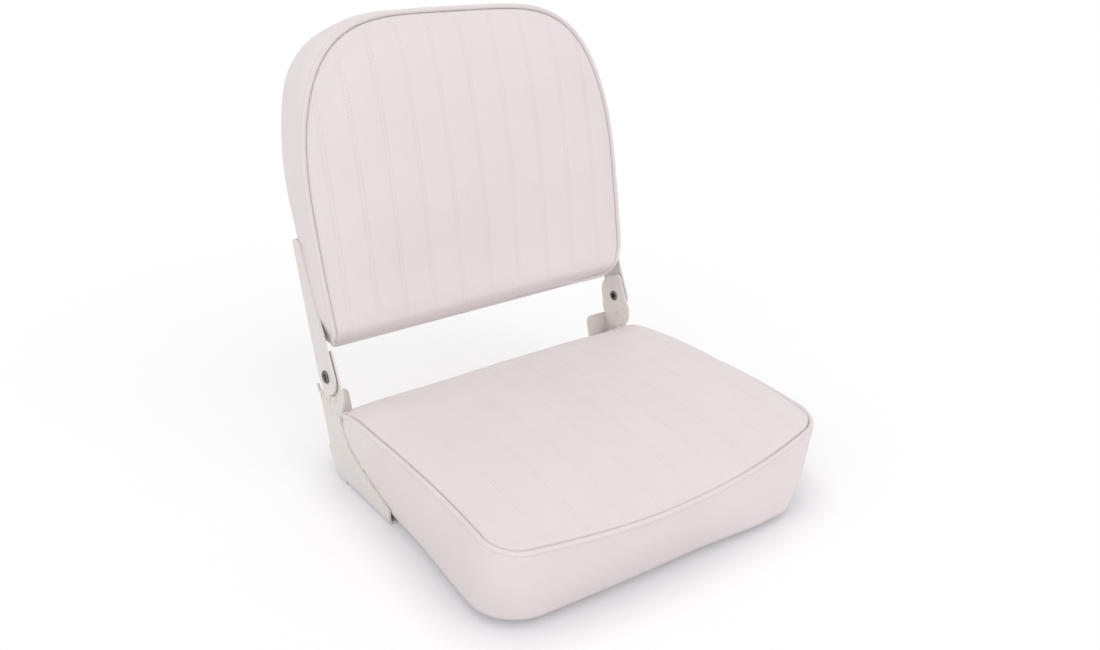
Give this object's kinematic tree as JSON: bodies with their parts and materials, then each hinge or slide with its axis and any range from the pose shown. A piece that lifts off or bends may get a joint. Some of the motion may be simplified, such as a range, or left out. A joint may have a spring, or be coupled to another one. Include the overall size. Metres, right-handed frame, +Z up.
{
  "type": "folding boat seat",
  "caption": "Low-back fold-down boat seat: welted vinyl base and back cushions on moulded frames, joined by stamped painted hinges, bolt-down base",
  "frame": {"origin": "middle of the square four-bolt pattern, on the underside of the base pan, which is the plane the seat is bolted down on", "axes": "+Z up, -Y the front edge of the seat, +X to the sitter's left when seated facing -Y; X = 0 is the plane of symmetry"},
  "size_m": [0.427, 0.4686, 0.4947],
  "materials": {
    "vinyl": "satin, fine grain",
    "foam": "open cell",
    "frame_plastic": "moulded",
    "hinge_paint": "powder coat, semi-gloss",
    "nylon": "moulded",
    "steel": "plated"
  },
  "bodies": {
    "base": {"bracket_screw_left_1": "steel", "bracket_screw_left_2": "steel", "bracket_screw_left_3": "steel", "bracket_screw_right_1": "steel", "bracket_screw_right_2": "steel", "bracket_screw_right_3": "steel", "hinge_bracket_left": "hinge_paint", "hinge_bracket_right": "hinge_paint", "pivot_rivet_left": "steel", "pivot_rivet_right": "steel", "pivot_washer_left": "nylon", "pivot_washer_right": "nylon", "seat_boxing": "vinyl", "seat_foam": "foam", "seat_frame": "frame_plastic", "seat_top_panel": "vinyl", "seat_welt": "vinyl", "t_nut_1": "steel", "t_nut_2": "steel", "t_nut_3": "steel", "t_nut_4": "steel"},
    "backrest": {"arm_screw_left_1": "steel", "arm_screw_left_2": "steel", "arm_screw_left_3": "steel", "arm_screw_right_1": "steel", "arm_screw_right_2": "steel", "arm_screw_right_3": "steel", "back_boxing": "vinyl", "back_foam": "foam", "back_frame": "frame_plastic", "back_front_panel": "vinyl", "back_rear_panel": "vinyl", "back_welt": "vinyl", "hinge_arm_left": "hinge_paint", "hinge_arm_right": "hinge_paint"}
  },
  "joints": [
    {"name": "backrest_fold", "type": "hinge", "parent": "base", "child": "backrest", "pos_m": [0, 0.16833, 0.1215], "axis": [1, 0, 0], "range_deg": [0, 85]}
  ]
}
